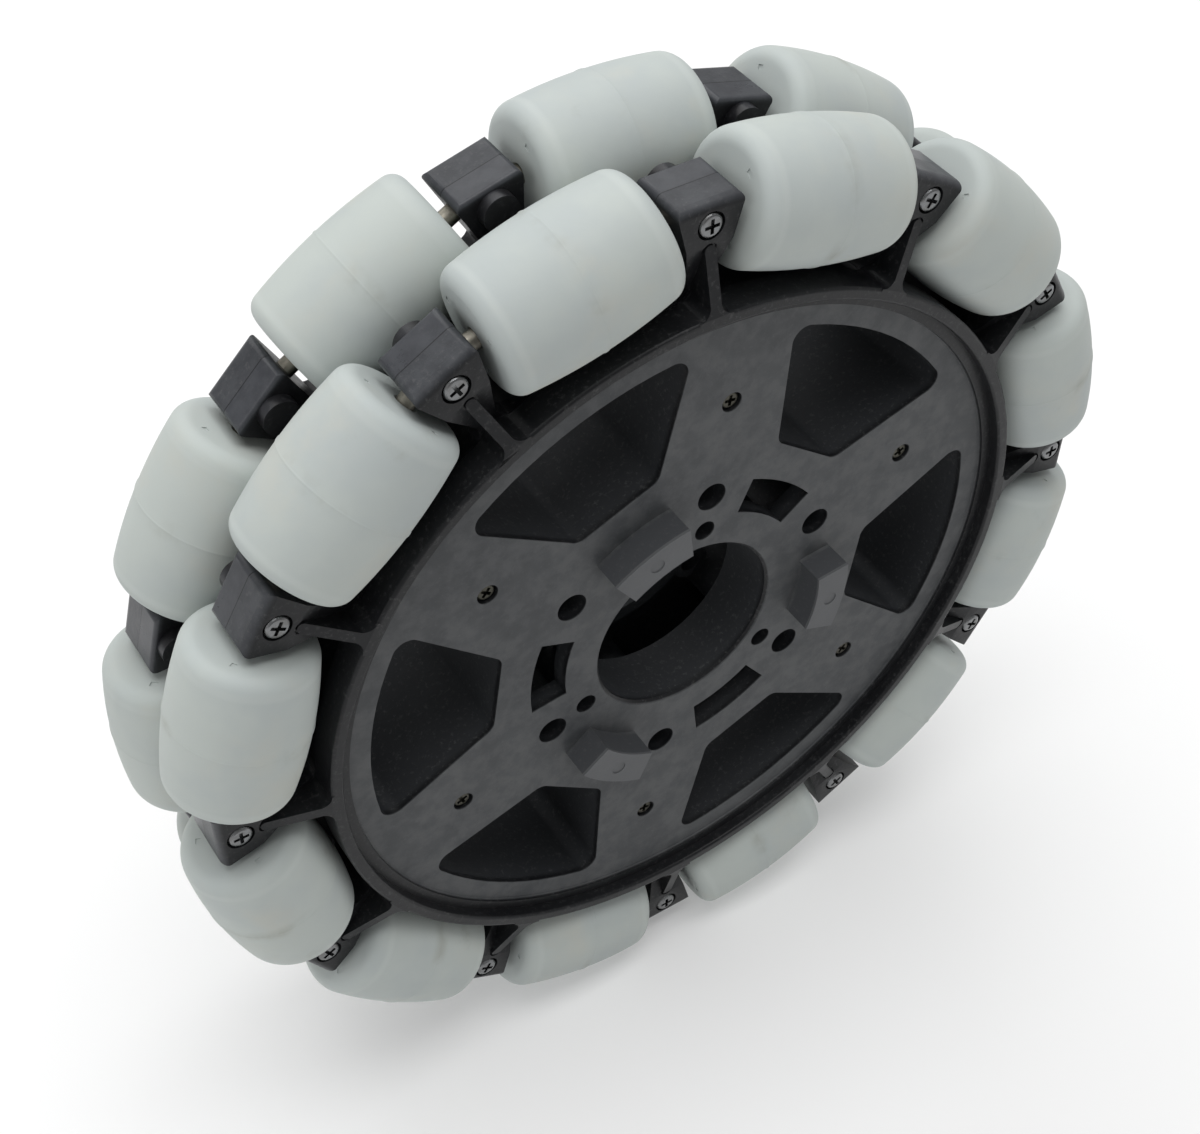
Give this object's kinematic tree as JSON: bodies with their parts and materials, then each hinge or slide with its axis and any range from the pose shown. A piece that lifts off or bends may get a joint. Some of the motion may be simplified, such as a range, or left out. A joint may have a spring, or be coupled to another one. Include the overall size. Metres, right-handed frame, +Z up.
{
  "type": "omni wheel",
  "caption": "Double-row omni wheel with barrel rollers on a cored plastic hub with a round bore, bolt holes and drive keys.",
  "frame": {"origin": "centre of the wheel, midway between its two faces", "axes": "+Y along the wheel's axis towards the rear face, -Y out of the front face, +Z up, +X to the right seen from the front"},
  "size_m": [0.1524, 0.0376, 0.1524],
  "materials": {
    "hub_nylon": "moulded, satin",
    "retainer_nylon": "moulded, satin",
    "roller_rubber": "moulded, smooth matt",
    "pin_steel": "ground",
    "screw_steel": "zinc plated",
    "hub_screw_steel": "dull plated"
  },
  "bodies": {
    "wheel": {"front_hub": "hub_nylon", "rear_hub": "hub_nylon", "front_retainer": "retainer_nylon", "rear_retainer": "retainer_nylon", "front_pins": "pin_steel", "rear_pins": "pin_steel", "front_arm_screws": "screw_steel", "rear_arm_screws": "screw_steel", "hub_screws": "hub_screw_steel"},
    "front_roller_1_body": {"front_roller_1": "roller_rubber"},
    "front_roller_2_body": {"front_roller_2": "roller_rubber"},
    "front_roller_3_body": {"front_roller_3": "roller_rubber"},
    "front_roller_4_body": {"front_roller_4": "roller_rubber"},
    "front_roller_5_body": {"front_roller_5": "roller_rubber"},
    "front_roller_6_body": {"front_roller_6": "roller_rubber"},
    "front_roller_7_body": {"front_roller_7": "roller_rubber"},
    "front_roller_8_body": {"front_roller_8": "roller_rubber"},
    "front_roller_9_body": {"front_roller_9": "roller_rubber"},
    "front_roller_10_body": {"front_roller_10": "roller_rubber"},
    "front_roller_11_body": {"front_roller_11": "roller_rubber"},
    "front_roller_12_body": {"front_roller_12": "roller_rubber"},
    "rear_roller_1_body": {"rear_roller_1": "roller_rubber"},
    "rear_roller_2_body": {"rear_roller_2": "roller_rubber"},
    "rear_roller_3_body": {"rear_roller_3": "roller_rubber"},
    "rear_roller_4_body": {"rear_roller_4": "roller_rubber"},
    "rear_roller_5_body": {"rear_roller_5": "roller_rubber"},
    "rear_roller_6_body": {"rear_roller_6": "roller_rubber"},
    "rear_roller_7_body": {"rear_roller_7": "roller_rubber"},
    "rear_roller_8_body": {"rear_roller_8": "roller_rubber"},
    "rear_roller_9_body": {"rear_roller_9": "roller_rubber"},
    "rear_roller_10_body": {"rear_roller_10": "roller_rubber"},
    "rear_roller_11_body": {"rear_roller_11": "roller_rubber"},
    "rear_roller_12_body": {"rear_roller_12": "roller_rubber"}
  },
  "joints": [
    {"name": "front_roller_1_spin", "type": "hinge", "parent": "wheel", "child": "front_roller_1_body", "pos_m": [-0.01729, -0.00915, 0.06452], "axis": [-0.9659, 0, -0.2588], "continuous": true},
    {"name": "front_roller_2_spin", "type": "hinge", "parent": "wheel", "child": "front_roller_2_body", "pos_m": [-0.04723, -0.00915, 0.04723], "axis": [-0.7071, 0, -0.7071], "continuous": true},
    {"name": "front_roller_3_spin", "type": "hinge", "parent": "wheel", "child": "front_roller_3_body", "pos_m": [-0.06452, -0.00915, 0.01729], "axis": [-0.2588, 0, -0.9659], "continuous": true},
    {"name": "front_roller_4_spin", "type": "hinge", "parent": "wheel", "child": "front_roller_4_body", "pos_m": [-0.06452, -0.00915, -0.01729], "axis": [0.2588, 0, -0.9659], "continuous": true},
    {"name": "front_roller_5_spin", "type": "hinge", "parent": "wheel", "child": "front_roller_5_body", "pos_m": [-0.04723, -0.00915, -0.04723], "axis": [0.7071, 0, -0.7071], "continuous": true},
    {"name": "front_roller_6_spin", "type": "hinge", "parent": "wheel", "child": "front_roller_6_body", "pos_m": [-0.01729, -0.00915, -0.06452], "axis": [0.9659, 0, -0.2588], "continuous": true},
    {"name": "front_roller_7_spin", "type": "hinge", "parent": "wheel", "child": "front_roller_7_body", "pos_m": [0.01729, -0.00915, -0.06452], "axis": [0.9659, 0, 0.2588], "continuous": true},
    {"name": "front_roller_8_spin", "type": "hinge", "parent": "wheel", "child": "front_roller_8_body", "pos_m": [0.04723, -0.00915, -0.04723], "axis": [0.7071, 0, 0.7071], "continuous": true},
    {"name": "front_roller_9_spin", "type": "hinge", "parent": "wheel", "child": "front_roller_9_body", "pos_m": [0.06452, -0.00915, -0.01729], "axis": [0.2588, 0, 0.9659], "continuous": true},
    {"name": "front_roller_10_spin", "type": "hinge", "parent": "wheel", "child": "front_roller_10_body", "pos_m": [0.06452, -0.00915, 0.01729], "axis": [-0.2588, 0, 0.9659], "continuous": true},
    {"name": "front_roller_11_spin", "type": "hinge", "parent": "wheel", "child": "front_roller_11_body", "pos_m": [0.04723, -0.00915, 0.04723], "axis": [-0.7071, 0, 0.7071], "continuous": true},
    {"name": "front_roller_12_spin", "type": "hinge", "parent": "wheel", "child": "front_roller_12_body", "pos_m": [0.01729, -0.00915, 0.06452], "axis": [-0.9659, 0, 0.2588], "continuous": true},
    {"name": "rear_roller_1_spin", "type": "hinge", "parent": "wheel", "child": "rear_roller_1_body", "pos_m": [0.0334, 0.00915, 0.05785], "axis": [0.866, 0, -0.5], "continuous": true},
    {"name": "rear_roller_2_spin", "type": "hinge", "parent": "wheel", "child": "rear_roller_2_body", "pos_m": [0.05785, 0.00915, 0.0334], "axis": [0.5, 0, -0.866], "continuous": true},
    {"name": "rear_roller_3_spin", "type": "hinge", "parent": "wheel", "child": "rear_roller_3_body", "pos_m": [0.0668, 0.00915, 0], "axis": [0, 0, -1], "continuous": true},
    {"name": "rear_roller_4_spin", "type": "hinge", "parent": "wheel", "child": "rear_roller_4_body", "pos_m": [0.05785, 0.00915, -0.0334], "axis": [-0.5, 0, -0.866], "continuous": true},
    {"name": "rear_roller_5_spin", "type": "hinge", "parent": "wheel", "child": "rear_roller_5_body", "pos_m": [0.0334, 0.00915, -0.05785], "axis": [-0.866, 0, -0.5], "continuous": true},
    {"name": "rear_roller_6_spin", "type": "hinge", "parent": "wheel", "child": "rear_roller_6_body", "pos_m": [0, 0.00915, -0.0668], "axis": [-1, 0, 0], "continuous": true},
    {"name": "rear_roller_7_spin", "type": "hinge", "parent": "wheel", "child": "rear_roller_7_body", "pos_m": [-0.0334, 0.00915, -0.05785], "axis": [-0.866, 0, 0.5], "continuous": true},
    {"name": "rear_roller_8_spin", "type": "hinge", "parent": "wheel", "child": "rear_roller_8_body", "pos_m": [-0.05785, 0.00915, -0.0334], "axis": [-0.5, 0, 0.866], "continuous": true},
    {"name": "rear_roller_9_spin", "type": "hinge", "parent": "wheel", "child": "rear_roller_9_body", "pos_m": [-0.0668, 0.00915, 0], "axis": [0, 0, 1], "continuous": true},
    {"name": "rear_roller_10_spin", "type": "hinge", "parent": "wheel", "child": "rear_roller_10_body", "pos_m": [-0.05785, 0.00915, 0.0334], "axis": [0.5, 0, 0.866], "continuous": true},
    {"name": "rear_roller_11_spin", "type": "hinge", "parent": "wheel", "child": "rear_roller_11_body", "pos_m": [-0.0334, 0.00915, 0.05785], "axis": [0.866, 0, 0.5], "continuous": true},
    {"name": "rear_roller_12_spin", "type": "hinge", "parent": "wheel", "child": "rear_roller_12_body", "pos_m": [0, 0.00915, 0.0668], "axis": [1, 0, 0], "continuous": true}
  ]
}
